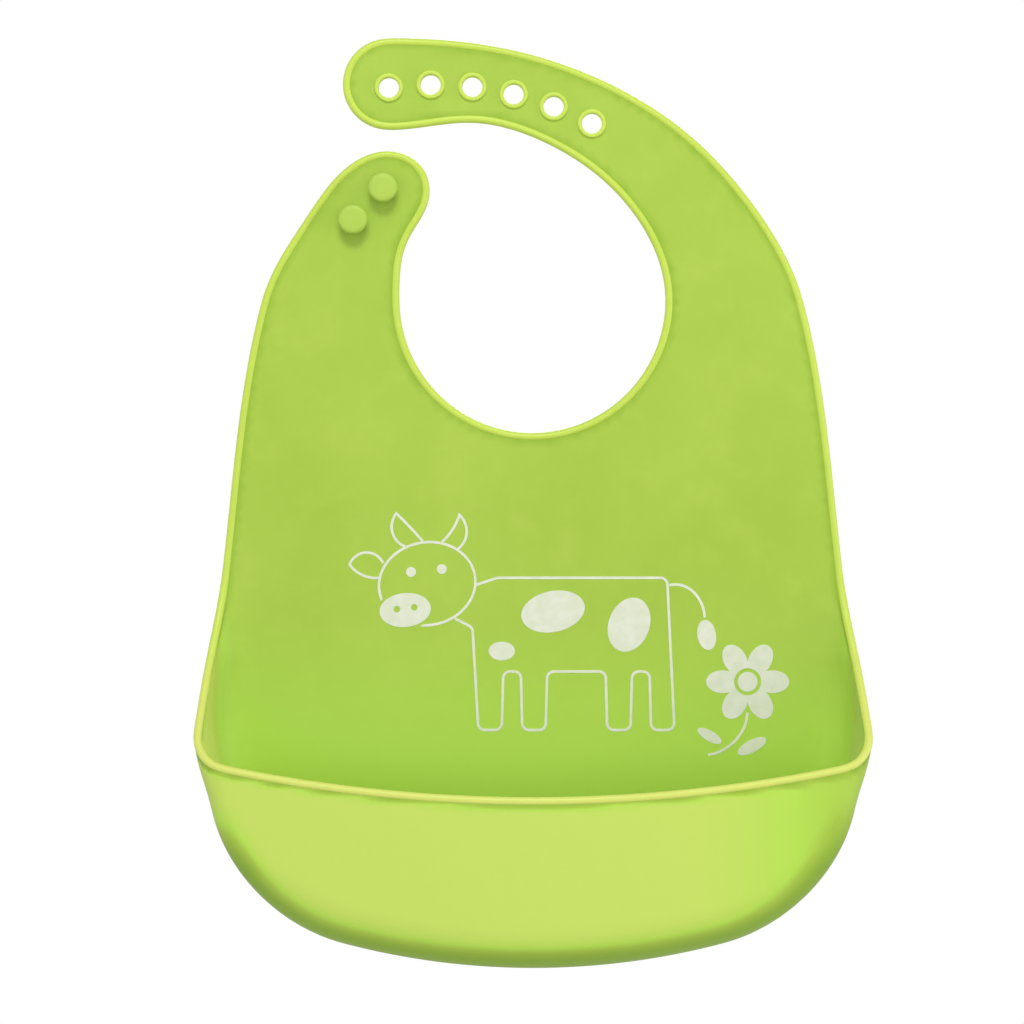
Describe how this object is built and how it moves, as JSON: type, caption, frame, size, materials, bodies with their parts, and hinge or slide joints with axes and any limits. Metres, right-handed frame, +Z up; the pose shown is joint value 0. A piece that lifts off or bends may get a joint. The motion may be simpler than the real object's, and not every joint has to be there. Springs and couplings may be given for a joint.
{
  "type": "silicone bib",
  "caption": "Moulded silicone baby bib with a raised edge bead, an adjustable stud-and-hole neck closure and an open crumb pouch.",
  "frame": {"origin": "centre of the neck opening, on the middle plane of the flat sheet", "axes": "+Z up as worn, -Y out of the front, +X to the viewer's right when the front is looked at"},
  "size_m": [0.2226, 0.0524, 0.3133],
  "materials": {
    "silicone_sheet": "matte",
    "silicone_bead": "satin",
    "silicone_pouch": "matte",
    "silicone_stud": "satin",
    "ink": "matte"
  },
  "bodies": {
    "collar": {"collar_sheet": "silicone_sheet", "collar_neck_bead": "silicone_bead", "collar_left_bead": "silicone_bead", "collar_right_bead": "silicone_bead"},
    "right_shoulder": {"right_shoulder_sheet": "silicone_sheet", "right_shoulder_inner_bead": "silicone_bead", "right_shoulder_outer_bead": "silicone_bead"},
    "strap_middle": {"strap_middle_sheet": "silicone_sheet", "strap_middle_inner_bead": "silicone_bead", "strap_middle_outer_bead": "silicone_bead"},
    "strap_end": {"strap_end_sheet": "silicone_sheet", "strap_end_bead": "silicone_bead", "hole_collar_1": "silicone_bead", "hole_collar_2": "silicone_bead", "hole_collar_3": "silicone_bead", "hole_collar_4": "silicone_bead", "hole_collar_5": "silicone_bead", "hole_collar_6": "silicone_bead"},
    "left_shoulder": {"left_shoulder_sheet": "silicone_sheet", "left_shoulder_inner_bead": "silicone_bead", "left_shoulder_outer_bead": "silicone_bead"},
    "stud_tab": {"stud_tab_sheet": "silicone_sheet", "stud_tab_bead": "silicone_bead", "upper_stud": "silicone_stud", "lower_stud": "silicone_stud"},
    "apron": {"apron_sheet": "silicone_sheet", "apron_left_bead": "silicone_bead", "apron_right_bead": "silicone_bead", "pouch_basin": "silicone_pouch", "pouch_left_rim": "silicone_bead", "pouch_right_rim": "silicone_bead", "print_cow_outline": "ink", "print_cow_patches": "ink", "print_cow_face": "ink", "print_flower_petals": "ink", "print_flower_stem": "ink"},
    "pouch_front": {"pouch_front_wall": "silicone_pouch", "pouch_front_rim": "silicone_bead"}
  },
  "joints": [
    {"name": "strap_root_bend", "type": "hinge", "parent": "collar", "child": "right_shoulder", "pos_m": [0, 0.0016, 0], "axis": [-0.9397, 0, 0.342], "range_deg": [0, 45], "stiffness_Nm_per_rad": 0.06},
    {"name": "strap_middle_bend", "type": "hinge", "parent": "right_shoulder", "child": "strap_middle", "pos_m": [0, 0.0016, 0], "axis": [-0.9397, 0, -0.342], "range_deg": [0, 42], "stiffness_Nm_per_rad": 0.03},
    {"name": "strap_end_bend", "type": "hinge", "parent": "strap_middle", "child": "strap_end", "pos_m": [0, 0.0016, 0], "axis": [-0.5, 0, -0.866], "range_deg": [0, 40], "stiffness_Nm_per_rad": 0.02},
    {"name": "stud_root_bend", "type": "hinge", "parent": "collar", "child": "left_shoulder", "pos_m": [0, 0.0016, 0], "axis": [-0.9397, 0, -0.342], "range_deg": [0, 42], "stiffness_Nm_per_rad": 0.06},
    {"name": "stud_tab_bend", "type": "hinge", "parent": "left_shoulder", "child": "stud_tab", "pos_m": [0, 0.0016, 0], "axis": [-0.9903, 0, 0.1392], "range_deg": [0, 36], "stiffness_Nm_per_rad": 0.02},
    {"name": "apron_bend", "type": "hinge", "parent": "collar", "child": "apron", "pos_m": [0, 0.0016, -0.054], "axis": [1, 0, 0], "range_deg": [0, 40], "stiffness_Nm_per_rad": 0.2},
    {"name": "pouch_mouth_flex", "type": "hinge", "parent": "apron", "child": "pouch_front", "pos_m": [0, -0.05, -0.205], "axis": [1, 0, 0], "range_deg": [0, 14], "stiffness_Nm_per_rad": 0.1}
  ],
  "couplings": [
    {"joint": "strap_middle_bend", "follows": "strap_root_bend", "ratio": 0.93332},
    {"joint": "strap_end_bend", "follows": "strap_root_bend", "ratio": 0.88888},
    {"joint": "stud_tab_bend", "follows": "stud_root_bend", "ratio": 0.85713}
  ]
}
